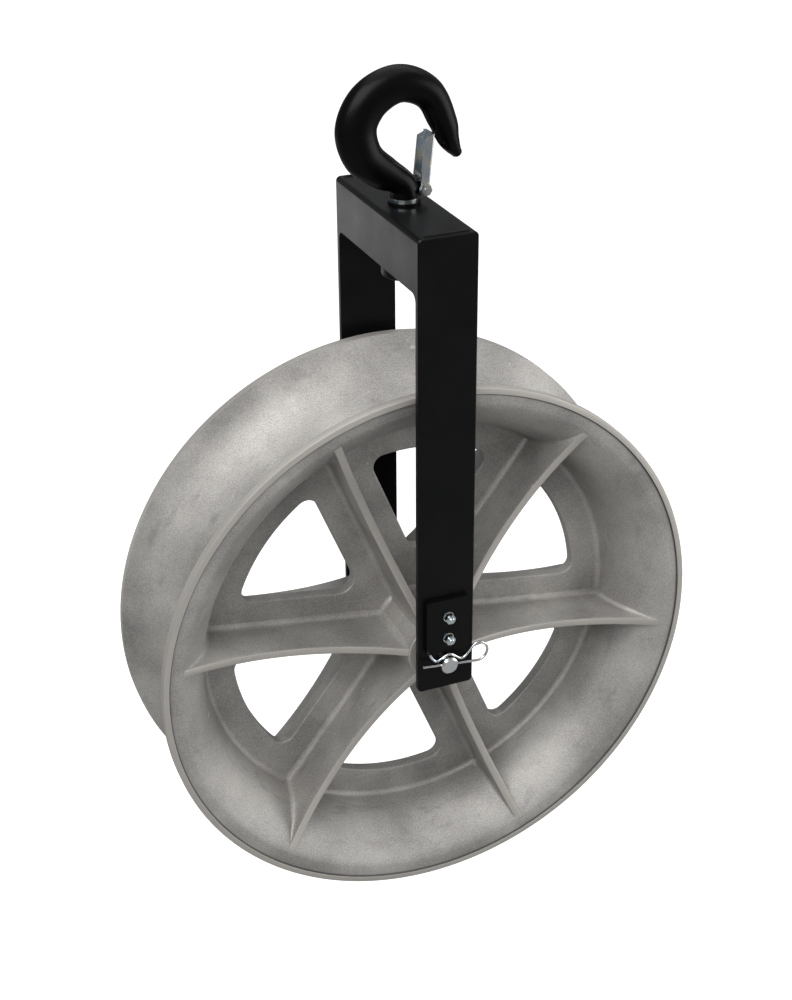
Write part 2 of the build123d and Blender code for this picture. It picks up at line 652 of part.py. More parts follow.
NODES = {
    "sheave": make_sheave,
    "bearing_outer_ring_near": lambda: make_outer_ring(-1),
    "bearing_outer_ring_far": lambda: make_outer_ring(1),
    "bearing_inner_ring_near": lambda: make_inner_ring(-1),
    "bearing_inner_ring_far": lambda: make_inner_ring(1),
    "bearing_balls_near": lambda: make_balls(-1),
    "bearing_balls_far": lambda: make_balls(1),
    "bearing_cage_near": lambda: make_cage(-1),
    "bearing_cage_far": lambda: make_cage(1),
    "bearing_shields": make_seals,
    "hub_snap_rings": make_snap_rings,
    "bearing_spacer_tube": make_spacer_tube,
    "side_spacer_near": lambda: make_side_spacer(-1),
    "side_spacer_far": lambda: make_side_spacer(1),
    "axle_pin": make_axle_pin,
    "r_clip": make_r_clip,
    "side_plate_near": lambda: make_leg(-1),
    "side_plate_far": lambda: make_leg(1),
    "frame_top": make_frame_top,
    "weld_beads": make_weld_beads,
    "keeper_plate": make_keeper_plate,
    "keeper_bolts": make_keeper_bolts,
    "keeper_nuts": make_keeper_nuts,
    "keeper_washers": make_keeper_washers,
    "swivel_block": make_swivel_block,
    "thrust_race_upper": make_thrust_race_upper,
    "thrust_race_lower": make_thrust_race_lower,
    "thrust_balls": make_thrust_balls,
    "thrust_cage": make_thrust_cage,
    "shank_nut": make_shank_nut,
    "shank_lock_pin": make_lock_pin,
    "swivel_washer": make_top_washer,
    "swivel_collar": make_swivel_collar,
    "hook": make_hook,
    "latch": make_latch,
    "latch_pin": make_latch_pin,
    "latch_nut": make_latch_nut,
    "latch_washers": make_latch_washers,
    "latch_spring": make_latch_spring,
}


def main():
    os.makedirs("parts", exist_ok=True)
    for name, make in NODES.items():
        export_step(make(), f"parts/{name}.step")


main()
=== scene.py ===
import json
from math import asin, cos, pi, radians, sin, sqrt

import bmesh
import bpy
from mathutils import Matrix, Vector


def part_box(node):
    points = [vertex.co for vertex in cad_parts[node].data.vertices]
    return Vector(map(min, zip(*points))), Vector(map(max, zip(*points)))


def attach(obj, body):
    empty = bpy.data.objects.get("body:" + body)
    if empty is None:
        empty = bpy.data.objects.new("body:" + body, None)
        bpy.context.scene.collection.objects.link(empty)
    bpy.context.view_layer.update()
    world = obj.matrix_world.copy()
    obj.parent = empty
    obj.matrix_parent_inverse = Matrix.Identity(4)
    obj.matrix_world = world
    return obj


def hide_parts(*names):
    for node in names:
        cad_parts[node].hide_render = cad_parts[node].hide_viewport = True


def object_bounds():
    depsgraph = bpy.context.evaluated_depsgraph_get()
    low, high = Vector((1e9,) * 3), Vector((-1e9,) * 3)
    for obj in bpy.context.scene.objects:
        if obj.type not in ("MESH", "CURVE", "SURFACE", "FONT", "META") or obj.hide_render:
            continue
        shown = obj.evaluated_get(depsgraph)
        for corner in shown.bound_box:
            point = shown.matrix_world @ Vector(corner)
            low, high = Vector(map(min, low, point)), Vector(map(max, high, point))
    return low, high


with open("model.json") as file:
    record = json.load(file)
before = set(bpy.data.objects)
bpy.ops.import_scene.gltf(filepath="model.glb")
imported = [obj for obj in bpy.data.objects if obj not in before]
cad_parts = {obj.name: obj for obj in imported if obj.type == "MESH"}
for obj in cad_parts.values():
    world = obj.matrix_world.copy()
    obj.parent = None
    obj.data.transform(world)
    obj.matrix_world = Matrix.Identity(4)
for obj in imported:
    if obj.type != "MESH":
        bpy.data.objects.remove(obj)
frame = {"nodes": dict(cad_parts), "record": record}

CAD_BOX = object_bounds()
MM = 0.001


# ---------------------------------------------------------------- mesh helpers
class Shell:
    """Collects vertices, faces and one mask value per vertex for a piece: turned metal above 0, painted
    shade below 0.
    """

    def __init__(self):
        self.points = []
        self.faces = []
        self.machined_and_shade = []

    def point(self, co, machined_and_shade=0.0):
        self.points.append(tuple(co))
        self.machined_and_shade.append(machined_and_shade)
        return len(self.points) - 1

    def grid(self, rows, wrap_u=False, wrap_v=False):
        """Quads between rows of point numbers."""
        last_u = len(rows) if wrap_u else len(rows) - 1
        for i in range(last_u):
            a, b = rows[i], rows[(i + 1) % len(rows)]
            last_v = len(a) if wrap_v else len(a) - 1
            for j in range(last_v):
                k = (j + 1) % len(a)
                self.faces.append((a[j], a[k], b[k], b[j]))

    def build(self, name, materials, sharp_deg=35):
        mesh = bpy.data.meshes.new(name)
        mesh.from_pydata(self.points, [], self.faces)
        layer = mesh.attributes.new("machined_and_shade", "FLOAT", "POINT")
        layer.data.foreach_set("value", self.machined_and_shade)
        for material in materials:
            mesh.materials.append(material)
        tidy = bmesh.new()
        tidy.from_mesh(mesh)
        bmesh.ops.remove_doubles(tidy, verts=tidy.verts, dist=0.01 * MM)
        bmesh.ops.recalc_face_normals(tidy, faces=tidy.faces)
        tidy.to_mesh(mesh)
        tidy.free()
        obj = bpy.data.objects.new(name, mesh)
        bpy.context.scene.collection.objects.link(obj)
        soften(obj, sharp_deg)
        return obj


def soften(obj, sharp_deg=35):
    """Smooth shading that keeps edges over an angle crisp."""
    for face in obj.data.polygons:
        face.use_smooth = True
    split = obj.modifiers.new("crisp_edges", "EDGE_SPLIT")
    split.split_angle = radians(sharp_deg)
    split.use_edge_sharp = False


def arc(centre, radius, start_deg, end_deg, count):
    """Points of an arc in the plane, ends included."""
    out = []
    for i in range(count + 1):
        a = radians(start_deg + (end_deg - start_deg) * i / count)
        out.append((centre[0] + radius * cos(a), centre[1] + radius * sin(a)))
    return out


# ---------------------------------------------------------------- material helpers
def new_material(name):
    material = bpy.data.materials.new(name)
    material.use_nodes = True
    tree = material.node_tree
    tree.nodes.clear()
    out = tree.nodes.new("ShaderNodeOutputMaterial")
    shader = tree.nodes.new("ShaderNodeBsdfPrincipled")
    tree.links.new(shader.outputs["BSDF"], out.inputs["Surface"])
    return material, tree, shader


def noise(tree, scale, detail=4.0, roughness=0.6, stretch=None):
    """Noise in object space, in metres, optionally stretched per axis."""
    place = tree.nodes.new("ShaderNodeTexCoord")
    source = place.outputs["Object"]
    if stretch:
        mapping = tree.nodes.new("ShaderNodeMapping")
        mapping.inputs["Scale"].default_value = stretch
        tree.links.new(source, mapping.inputs["Vector"])
        source = mapping.outputs["Vector"]
    node = tree.nodes.new("ShaderNodeTexNoise")
    node.inputs["Scale"].default_value = scale
    node.inputs["Detail"].default_value = detail
    node.inputs["Roughness"].default_value = roughness
    tree.links.new(source, node.inputs["Vector"])
    return node.outputs["Fac"]


def ramp(tree, value, low, high, out_low=0.0, out_high=1.0):
    """Linear map of a value range, clamped."""
    node = tree.nodes.new("ShaderNodeMapRange")
    node.inputs["From Min"].default_value = low
    node.inputs["From Max"].default_value = high
    node.inputs["To Min"].default_value = out_low
    node.inputs["To Max"].default_value = out_high
    tree.links.new(value, node.inputs["Value"])
    return node.outputs["Result"]


def socket_or_value(tree, item, socket):
    if isinstance(item, bpy.types.NodeSocket):
        tree.links.new(item, socket)
    else:
        socket.default_value = item


def mix(tree, factor, a, b):
    """Colour blend of two colours or sockets."""
    node = tree.nodes.new("ShaderNodeMix")
    node.data_type = "RGBA"
    socket_or_value(tree, factor, node.inputs[0])
    socket_or_value(tree, a, node.inputs[6])
    socket_or_value(tree, b, node.inputs[7])
    return node.outputs[2]


def maths(tree, kind, a, b=0.0):
    node = tree.nodes.new("ShaderNodeMath")
    node.operation = kind
    socket_or_value(tree, a, node.inputs[0])
    socket_or_value(tree, b, node.inputs[1])
    return node.outputs[0]


def bump(tree, height, strength, distance, normal=None):
    node = tree.nodes.new("ShaderNodeBump")
    node.inputs["Strength"].default_value = strength
    node.inputs["Distance"].default_value = distance
    tree.links.new(height, node.inputs["Height"])
    if normal is not None:
        tree.links.new(normal, node.inputs["Normal"])
    return node.outputs["Normal"]


def axle_distance(tree):
    """Distance from the axle, in metres."""
    place = tree.nodes.new("ShaderNodeTexCoord")
    split = tree.nodes.new("ShaderNodeSeparateXYZ")
    tree.links.new(place.outputs["Object"], split.inputs[0])
    x_sq = maths(tree, "MULTIPLY", split.outputs["X"], split.outputs["X"])
    z_sq = maths(tree, "MULTIPLY", split.outputs["Z"], split.outputs["Z"])
    return maths(tree, "SQRT", maths(tree, "ADD", x_sq, z_sq))


def grey(value, warm=0.0):
    return (value * (1 + warm), value, value * (1 - 1.4 * warm), 1.0)


# ---------------------------------------------------------------- materials
def cast_aluminium():
    """Blasted casting: fine pale grain, soft mottling and stains.

    Turned bands are warmer, where the per-vertex mask is 1. Where the mask is below 0, at the step under
    the lip face, painted shade darkens the colour.
    """
    material, tree, shader = new_material("cast_aluminium")
    grain = noise(tree, 900.0, 6.0, 0.75)
    mottle = noise(tree, 9.0, 5.0, 0.55)
    smear = noise(tree, 28.0, 3.0, 0.6, (1.0, 3.0, 1.0))
    dark = mix(tree, ramp(tree, grain, 0.36, 0.64), grey(0.18, 0.034), grey(0.40, 0.034))
    pale = mix(tree, ramp(tree, grain, 0.36, 0.64), grey(0.33, 0.034), grey(0.61, 0.034))
    cast = mix(tree, ramp(tree, mottle, 0.36, 0.66), dark, pale)
    scuff = ramp(tree, noise(tree, 62.0, 2.0, 0.5), 0.74, 0.80, 0.0, 0.55)
    cast = mix(tree, scuff, cast, grey(0.72, 0.02))
    stain = ramp(tree, smear, 0.58, 0.78, 0.0, 0.42)
    cast = mix(tree, stain, cast, grey(0.16, 0.03))
    turned = tree.nodes.new("ShaderNodeTexNoise")
    turned.noise_dimensions = "1D"
    turned.inputs["Scale"].default_value = 2600.0
    tree.links.new(axle_distance(tree), turned.inputs["W"])
    rings = ramp(tree, turned.outputs["Fac"], 0.35, 0.65)
    worked = mix(tree, rings, grey(0.42, 0.06), grey(0.58, 0.055))
    worked = mix(tree, ramp(tree, mottle, 0.35, 0.7, 0.0, 0.5), worked, grey(0.36, 0.03))
    mask = tree.nodes.new("ShaderNodeAttribute")
    mask.attribute_name = "machined_and_shade"
    colour = mix(tree, ramp(tree, mask.outputs["Fac"], 0.0, 1.0), cast, worked)
    # painted shade: near black where the mask is below 0, on the step under the lip face
    colour = mix(tree, ramp(tree, mask.outputs["Fac"], -0.05, -0.8, 0.0, 0.85), colour, grey(0.05, 0.02))
    tree.links.new(colour, shader.inputs["Base Color"])
    shader.inputs["Metallic"].default_value = 0.62
    rough = ramp(tree, mottle, 0.3, 0.7, 0.54, 0.66)
    tree.links.new(maths(tree, "SUBTRACT", rough, maths(tree, "MULTIPLY", mask.outputs["Fac"], 0.08)),
                   shader.inputs["Roughness"])
    coarse = bump(tree, noise(tree, 120.0, 3.0, 0.5), 0.12, 0.6 * MM)
    tree.links.new(bump(tree, grain, 0.45, 0.35 * MM, coarse), shader.inputs["Normal"])
    return material


def black_coat(name, base, rough_low, rough_high, texture_mm, rubbed, shine):
    """Black coating with slight texture, dust in it and rubbed patches."""
    material, tree, shader = new_material(name)
    cloud = noise(tree, 14.0, 4.0, 0.6)
    peel = noise(tree, 420.0, 2.0, 0.5)
    rub = ramp(tree, noise(tree, 75.0, 8.0, 0.72), 0.66, 0.78, 0.0, rubbed)
    colour = mix(tree, ramp(tree, cloud, 0.35, 0.7), grey(base, -0.04), grey(base * 1.7, -0.03))
    colour = mix(tree, rub, colour, grey(base * 4.5, 0.0))
    tree.links.new(colour, shader.inputs["Base Color"])
    tree.links.new(ramp(tree, cloud, 0.3, 0.7, rough_low, rough_high), shader.inputs["Roughness"])
    shader.inputs["Specular IOR Level"].default_value = shine
    soft = bump(tree, cloud, 0.05, 1.0 * MM)
    tree.links.new(bump(tree, peel, 0.25, texture_mm * MM, soft), shader.inputs["Normal"])
    return material


def plated(name, base, rough, tint):
    """Plated steel: clouded metal with a faint blue or yellow cast and fine scratches."""
    material, tree, shader = new_material(name)
    cloud = noise(tree, 90.0, 4.0, 0.6)
    scratch = noise(tree, 500.0, 3.0, 0.7, (1.0, 1.0, 0.12))
    cool = (base * 0.84, base * 0.97, base * 1.06, 1.0)
    warm = (base * (1.0 + tint), base, base * (1.0 - 2.2 * tint), 1.0)
    colour = mix(tree, ramp(tree, cloud, 0.4, 0.62), cool, warm)
    colour = mix(tree, ramp(tree, scratch, 0.6, 0.75, 0.0, 0.4), colour, grey(base * 0.55))
    tree.links.new(colour, shader.inputs["Base Color"])
    shader.inputs["Metallic"].default_value = 1.0
    tree.links.new(ramp(tree, cloud, 0.3, 0.7, rough * 0.8, rough * 1.3), shader.inputs["Roughness"])
    tree.links.new(bump(tree, scratch, 0.12, 0.05 * MM), shader.inputs["Normal"])
    return material


def plain_floor():
    """White card: bright to the camera, so only the shadow shows on it."""
    material, tree, shader = new_material("floor_card")
    speck = noise(tree, 300.0, 2.0, 0.5)
    tree.links.new(mix(tree, speck, grey(0.30), grey(0.32)), shader.inputs["Base Color"])
    shader.inputs["Roughness"].default_value = 0.9
    shader.inputs["Emission Color"].default_value = (1, 1, 1, 1)
    ray = tree.nodes.new("ShaderNodeLightPath")
    tree.links.new(ray.outputs["Is Camera Ray"], shader.inputs["Emission Strength"])
    return material


ALUMINIUM = cast_aluminium()
COAT = black_coat("black_coat", 0.002, 0.27, 0.38, 0.05, 0.5, 0.15)
HOOK_PAINT = black_coat("hook_paint", 0.001, 0.26, 0.36, 0.30, 0.25, 0.10)
ZINC = plated("zinc_plate", 0.72, 0.20, 0.04)
BEARING = plated("bearing_steel", 0.55, 0.24, 0.01)
STEEL = plated("plain_steel", 0.38, 0.34, 0.02)
FINISH = {"cast_aluminium": ALUMINIUM, "black_coat": COAT, "hook_paint": HOOK_PAINT,
          "zinc_plate": ZINC, "bearing_steel": BEARING, "plain_steel": STEEL}


def finish_nodes():
    """Every carried-over node takes the material of its slot and smooth shading."""
    slot_of = {s["node"]: s["material_slot"] for s in frame["record"]["subparts"]}
    for name, obj in frame["nodes"].items():
        material = FINISH[slot_of[name]]
        for place in obj.material_slots:
            place.material = material
        soften(obj, 30)


# ---------------------------------------------------------------- sheave casting
# All sizes in mm.
SHEAVE_LOW, SHEAVE_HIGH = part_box("sheave")
RIM_R = (SHEAVE_HIGH[0] - SHEAVE_LOW[0]) / 2 / MM
HALF_W = 86.5
LAND = 10.0
FACE = 6.5
STEP = 1.0
EDGE = 0.8
FACE_EDGE = 0.3
STEP_SIDE = (0.4, 0.9)        # step under the lip face, inward and down, painted dark as shade
STEP_FOOT = (1.4, 1.1)
LIP_BULGE = 0.5
DEPTH = 57.0
WALL = 8.0
SHELL_ARC_R = 98.2
FLARE_Y = 82.5
WEB_HALF = 7.0
WEB_EDGE = 2.0
FILLET = 6.0
HUB_R = 34.0
HUB_HALF = (SHEAVE_HIGH[1] - SHEAVE_LOW[1]) / 2 / MM
HUB_EDGE = 1.5
SEAT_EDGE = 0.8
SEAT_R = 20.64
SEAT_DEPTH = 15.1
BORE_R = 17.0
RIB_COUNT = 6
RIB_START = -7.8
RIB_HALF_TOP = 4.2
RIB_DRAFT = 0.9
RIB_TIP_Y = 81.0
RIB_LOW_R = 165.0
RIB_LOW_Y = 61.0
WINDOW_RIM = 32.0
WINDOW_OFFSET = 33.0
WINDOW_IN = 18.0
WINDOW_OUT = 15.0
LATHE_STEPS = 240
GROOVE_STEPS = 20
SHELL_STEPS = 24
BLEND_STEPS = 8

groove_r = RIM_R - DEPTH
land_y = HALF_W - LAND
groove_arc_r = (land_y ** 2 + DEPTH ** 2) / (2 * DEPTH)
web_r = groove_r - WALL
shell_centre_r = web_r + SHELL_ARC_R


def shell_r(y):
    """Inner radius of the groove shell at an axial position, in mm."""
    return shell_centre_r - sqrt(SHELL_ARC_R ** 2 - y ** 2)


def lathe(shell, profile, closed=False):
    """Turn (radius, y, machined) points about the axle."""
    rows = []
    for i in range(LATHE_STEPS):
        a = 2 * pi * i / LATHE_STEPS
        # Turn (radius, y, mask) points about the axle; the mask marks turned metal and painted shade.
        rows.append([shell.point((r * cos(a) * MM, y * MM, r * sin(a) * MM), m) for r, y, m in profile])
    shell.grid(rows, wrap_u=True, wrap_v=closed)


def both_sides(side):
    """Closed section from the half that starts and ends on the mid-plane."""
    mirrored = [(r, -y, m) for r, y, m in reversed(side[:-1])]
    return side + mirrored[:-1]


def rim_profile():
    """Closed section of rim, groove and shell; the mask is 1 on the turned lip and below 0 on the step
    under the lip face, where shade is painted.
    """
    side = []
    for i in range(GROOVE_STEPS + 1):
        y = land_y * i / GROOVE_STEPS
        r = groove_r + groove_arc_r - sqrt(groove_arc_r ** 2 - y ** 2)
        side.append((r, y, 0.0))
    side.append((RIM_R, land_y + EDGE, 0.6))
    side.append((RIM_R, HALF_W - EDGE, 0.7))
    side.append((RIM_R - EDGE * 0.3, HALF_W - EDGE * 0.3, 1.0))
    side.append((RIM_R - EDGE, HALF_W, 1.0))
    side.append((RIM_R - FACE + FACE_EDGE, HALF_W, 1.0))
    # from here to the foot the mask is below 0: painted shade on the step under the lip face
    side.append((RIM_R - FACE, HALF_W - FACE_EDGE, -1.0))
    side.append((RIM_R - FACE - STEP_SIDE[0], HALF_W - STEP - STEP_SIDE[1], -1.0))
    foot_r = RIM_R - FACE - STEP_FOOT[0]
    foot_y = HALF_W - STEP - STEP_FOOT[1]
    side.append((foot_r, foot_y, -0.2))
    for i in range(1, BLEND_STEPS):
        t = i / BLEND_STEPS
        r = foot_r * (1 - t) + shell_r(FLARE_Y) * t
        y = foot_y * (1 - t) + FLARE_Y * t
        side.append((r, y + LIP_BULGE * sin(pi * t), 0.0))
    for i in range(SHELL_STEPS + 1):
        y = FLARE_Y * (1 - i / SHELL_STEPS)
        side.append((shell_r(y), y, 0.0))
    return both_sides(side)


def hub_profile():
    """Closed section of the hub with its bearing seats."""
    seat_y = HUB_HALF - SEAT_DEPTH
    side = [(HUB_R, 0, 0.0), (HUB_R, HUB_HALF - HUB_EDGE, 0.0)]
    for r, y in arc((HUB_R - HUB_EDGE, HUB_HALF - HUB_EDGE), HUB_EDGE, 0, 90, 5)[1:]:
        side.append((r, y, 0.7))
    side.append((SEAT_R + SEAT_EDGE, HUB_HALF, 1.0))
    side.append((SEAT_R, HUB_HALF - SEAT_EDGE, 1.0))
    side.append((SEAT_R, seat_y, 1.0))
    side.append((BORE_R, seat_y, 1.0))
    side.append((BORE_R, 0, 0.5))
    return both_sides(side)


def window_outline(bisector_deg):
    """Rounded triangle in the sheave plane, in mm, as a closed list of points."""
    half = pi / RIB_COUNT
    outer = web_r - WINDOW_RIM
    inner_c = (WINDOW_OFFSET + WINDOW_IN) / sin(half)
    reach = outer - WINDOW_OUT
    lift = (WINDOW_OFFSET + WINDOW_OUT) / reach
    out_a = half - asin(lift)
    points = []
    corner = (reach * cos(out_a), reach * sin(out_a))
    lower = (corner[0], -corner[1])
    half_deg = 180 / RIB_COUNT
    points += arc(lower, WINDOW_OUT, -90 - half_deg, -out_a * 180 / pi, 14)
    points += arc((0, 0), outer, -out_a * 180 / pi, out_a * 180 / pi, 28)[1:-1]
    points += arc(corner, WINDOW_OUT, out_a * 180 / pi, 90 + half_deg, 14)
    points += arc((inner_c, 0), WINDOW_IN, 90 + half_deg, 270 - half_deg, 14)
    turn = radians(bisector_deg)
    return [(x * cos(turn) - z * sin(turn), x * sin(turn) + z * cos(turn)) for x, z in points]


def web_mesh():
    """Flat web with six windows, their edges rounded, as a mesh in the XZ plane."""
    curve = bpy.data.curves.new("web_outline", "CURVE")
    curve.dimensions = "2D"
    curve.fill_mode = "BOTH"
    curve.extrude = (WEB_HALF - WEB_EDGE) * MM
    curve.bevel_depth = WEB_EDGE * MM
    curve.bevel_resolution = 3
    loops = [[(p[0], p[1]) for p in arc((0, 0), web_r + 0.4, 0, 360, LATHE_STEPS)[:-1]]]
    for i in range(RIB_COUNT):
        loops.append(window_outline(RIB_START + (i + 0.5) * 360 / RIB_COUNT))
    for loop in loops:
        spline = curve.splines.new("POLY")
        spline.points.add(len(loop) - 1)
        spline.use_cyclic_u = True
        for k, (x, z) in enumerate(loop):
            spline.points[k].co = (x * MM, z * MM, 0, 1)
    holder = bpy.data.objects.new("web_outline", curve)
    bpy.context.scene.collection.objects.link(holder)
    mesh = bpy.data.meshes.new_from_object(holder)
    bpy.data.objects.remove(holder)
    mesh.transform(Matrix.Rotation(radians(90), 4, "X"))
    return mesh


def circle_through(a, b, c):
    """Centre and radius of the circle through three points."""
    d = 2 * (a[0] * (b[1] - c[1]) + b[0] * (c[1] - a[1]) + c[0] * (a[1] - b[1]))
    sq = [p[0] ** 2 + p[1] ** 2 for p in (a, b, c)]
    x = (sq[0] * (b[1] - c[1]) + sq[1] * (c[1] - a[1]) + sq[2] * (a[1] - b[1])) / d
    y = (sq[0] * (c[0] - b[0]) + sq[1] * (a[0] - c[0]) + sq[2] * (b[0] - a[0])) / d
    return (x, y), sqrt((a[0] - x) ** 2 + (a[1] - y) ** 2)


RIB_ARC = circle_through((HUB_R - 2, HUB_HALF - 1), (RIB_LOW_R, RIB_LOW_Y),
                         (shell_r(RIB_TIP_Y), RIB_TIP_Y))


def rib_top(r):
    """Height of the rib's free edge above the mid-plane at a radius, in mm."""
    (cx, cy), big = RIB_ARC
    return cy - sqrt(big ** 2 - (r - cx) ** 2)


def flare(distance):
    """Extra half thickness of a rib near a surface it grows from."""
    if distance >= FILLET:
        return 0.0
    drop = FILLET - max(distance, 0.0)
    return FILLET - sqrt(max(FILLET ** 2 - drop ** 2, 0.0))


def rib_half_width(r, y):
    """Half thickness of a rib at a radius and height, with fillets to web, shell and hub."""
    below = max(rib_top(r) - y, 0.0)
    lean = RIB_DRAFT * below / RIB_LOW_Y
    to_shell = sqrt((shell_centre_r - r) ** 2 + y ** 2) - SHELL_ARC_R
    fade = min(1.0, below / (3 * FILLET))
    grow = max(flare(y - WEB_HALF), flare(to_shell) * fade, flare(r - HUB_R) * fade)
    return RIB_HALF_TOP + lean + grow


RIB_ALONG = 70
RIB_UP = 26
RIB_IN_HUB = 3.0            # how far a rib reaches into the hub,
RIB_IN_RIM = 2.5            # into the rim at its tip,
RIB_SINK = 1.0              # and into the web and shell below it
RIB_MIN_H = 1.5
CROWN_H = 1.0               # rounded crown of the free edge
CROWN_BEVEL = 0.3


def rib_rows(side_sign):
    """Section points of a rib from one foot, over its free edge, to the other foot."""
    r_start = HUB_R - RIB_IN_HUB
    r_end = shell_r(RIB_TIP_Y) + RIB_IN_RIM
    rows = []
    for i in range(RIB_ALONG + 1):
        r = r_start + (r_end - r_start) * i / RIB_ALONG
        top = rib_top(min(r, shell_r(RIB_TIP_Y)))
        foot = WEB_HALF - RIB_SINK
        if r > web_r:
            on_shell = SHELL_ARC_R ** 2 - (shell_centre_r - r) ** 2
            foot = sqrt(max(on_shell, foot ** 2)) - RIB_SINK
        foot = min(foot, top - RIB_MIN_H)
        left = []
        for j in range(RIB_UP + 1):
            t = j / RIB_UP
            y = foot + (top - CROWN_H - foot) * (0.35 * t + 0.65 * t ** 2 if t < 1 else 1.0)
            left.append((rib_half_width(r, y), y, 0.0))
        crown_w = rib_half_width(r, top - CROWN_H)
        left.append((crown_w - CROWN_BEVEL, top - CROWN_BEVEL, 0.8))
        left.append((crown_w - CROWN_H, top, 1.0))
        section = left + [(-w, y, m) for w, y, m in reversed(left)]
        rows.append([(r, w, y * side_sign, m) for w, y, m in section])
    return rows


def add_rib(shell, deg, side_sign):
    a = radians(deg)
    rows = []
    for section in rib_rows(side_sign):
        row = []
        for r, w, y, m in section:
            x = r * cos(a) - w * sin(a)
            z = r * sin(a) + w * cos(a)
            row.append(shell.point((x * MM, y * MM, z * MM), m))
        rows.append(row)
    shell.grid(rows)


def ring_fillet(shell, centre, radius, start_deg, end_deg, y_sign):
    """Cast fillet turned about the axle, from an arc in (radius, y)."""
    profile = [(r, y * y_sign, 0.0) for r, y in arc(centre, radius, start_deg, end_deg, 8)]
    lathe(shell, profile)


def make_sheave():
    shell = Shell()
    lathe(shell, rim_profile(), closed=True)
    lathe(shell, hub_profile(), closed=True)
    centre_y = WEB_HALF + FILLET
    centre_r = shell_centre_r - sqrt((SHELL_ARC_R + FILLET) ** 2 - centre_y ** 2)
    for sign in (-1, 1):
        ring_fillet(shell, (HUB_R + FILLET, WEB_HALF + FILLET), FILLET, 180, 270, sign)
        ring_fillet(shell, (centre_r, centre_y), FILLET, 270, 352, sign)
        for i in range(RIB_COUNT):
            add_rib(shell, RIB_START + i * 360 / RIB_COUNT, sign)
    web = web_mesh()
    start = len(shell.points)
    for vertex in web.vertices:
        shell.point(vertex.co)
    for face in web.polygons:
        shell.faces.append(tuple(start + k for k in face.vertices))
    bpy.data.meshes.remove(web)
    casting = shell.build("sheave_casting", [ALUMINIUM], 40)
    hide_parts("sheave")
    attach(casting, "sheave")


# ---------------------------------------------------------------- hook forging
# All sizes in mm.
SHANK_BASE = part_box("hook")[0][2] / MM
SHANK_R = 12.5
SHANK_EDGE = 1.2
NECK_TOP = 489.3
BOWL = (-4.9, 551.5)
BOWL_R = 43.2


def bowl(deg):
    return (BOWL[0] + BOWL_R * cos(radians(deg)), BOWL[1] + BOWL_R * sin(radians(deg)))


# centre (x, z), direction of travel in degrees, half width, half depth, all in mm
HOOK_SECTIONS = (
    ((0.0, NECK_TOP - 7.0), 90, 14.3, 14.3),
    ((0.0, NECK_TOP), 90, 14.3, 14.3),
    ((-4.5, NECK_TOP + 7.5), 118, 14.8, 14.5),
    ((-21.0, NECK_TOP + 18.7), 138, 16.8, 14.8),
    ((-42.5, NECK_TOP + 37.0), 119, 19.8, 15.8),
    ((-50.0, BOWL[1] + 3.5), 91, 21.2, 16.2),
    (bowl(135), 45, 20.5, 16.2),
    (bowl(90), 0, 18.4, 16.2),
    (bowl(45), -45, 15.9, 15.2),
    ((41.0, BOWL[1] + 1.5), -76, 14.3, 13.7),
    ((47.6, BOWL[1] - 17.5), -70, 10.7, 11.4),
    ((56.4, BOWL[1] - 31.0), -46, 5.4, 7.0),
)
HOOK_SMOOTH = 14
HOOK_ROUND = 64
FLASH_H = 0.35              # forging's flash line along its two outer edges
FLASH_SPREAD = 0.07
NOSE_LENGTH = 3.6
NOSE_STEPS = 6
LUG_R = 7.5
LUG_HALF = 5.0
LUG_HOLE_R = 3.05
LUG_ROUND = 40
LUG_EDGE = 1.2
LUG_BEVEL = 0.35
LUG_ROOT = 14.0             # how far the lug's arms reach back into the neck


def catmull(a, b, c, d, t):
    return 0.5 * ((2 * b) + (-a + c) * t + (2 * a - 5 * b + 4 * c - d) * t ** 2
                  + (-a + 3 * b - 3 * c + d) * t ** 3)


def hook_stations():
    """Sections interpolated smoothly between the named ones."""
    keys = [(s[0][0], s[0][1], s[1], s[2], s[3]) for s in HOOK_SECTIONS]
    keys = [keys[0]] + keys + [keys[-1]]
    stations = []
    for i in range(1, len(keys) - 2):
        for k in range(HOOK_SMOOTH):
            t = k / HOOK_SMOOTH
            stations.append([catmull(keys[i - 1][n], keys[i][n], keys[i + 1][n], keys[i + 2][n], t)
                             for n in range(5)])
    stations.append(list(keys[-2]))
    x, z, deg, w, d = stations[-1]
    for k in range(1, NOSE_STEPS + 1):
        a = radians(90 * k / NOSE_STEPS)
        step = NOSE_LENGTH * sin(a)
        shrink = cos(a) ** 0.6
        stations.append([x + step * cos(radians(deg)), z + step * sin(radians(deg)), deg,
                         max(w * shrink, 0.05), max(d * shrink, 0.05)])
    return stations


def make_hook():
    shell = Shell()
    rows = []
    for x, z, deg, w, d in hook_stations():
        a = radians(deg)
        row = []
        for k in range(HOOK_ROUND):
            b = 2 * pi * k / HOOK_ROUND
            flash = FLASH_H * max(0.0, 1 - abs(sin(b)) / FLASH_SPREAD)
            across = (w + flash) * cos(b)
            deep = d * sin(b)
            row.append(shell.point(((x + across * sin(a)) * MM, deep * MM,
                                    (z - across * cos(a)) * MM)))
        rows.append(row)
    shell.grid(rows, wrap_v=True)
    shell.faces.append(tuple(reversed(rows[0])))
    shell.faces.append(tuple(rows[-1]))
    low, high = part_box("latch_pin")
    px = (low[0] + high[0]) / 2 / MM
    pz = (low[2] + high[2]) / 2 / MM
    lug(shell, px, pz)
    shank(shell)
    forging = shell.build("hook_forging", [HOOK_PAINT], 50)
    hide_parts("hook")
    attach(forging, "hook")


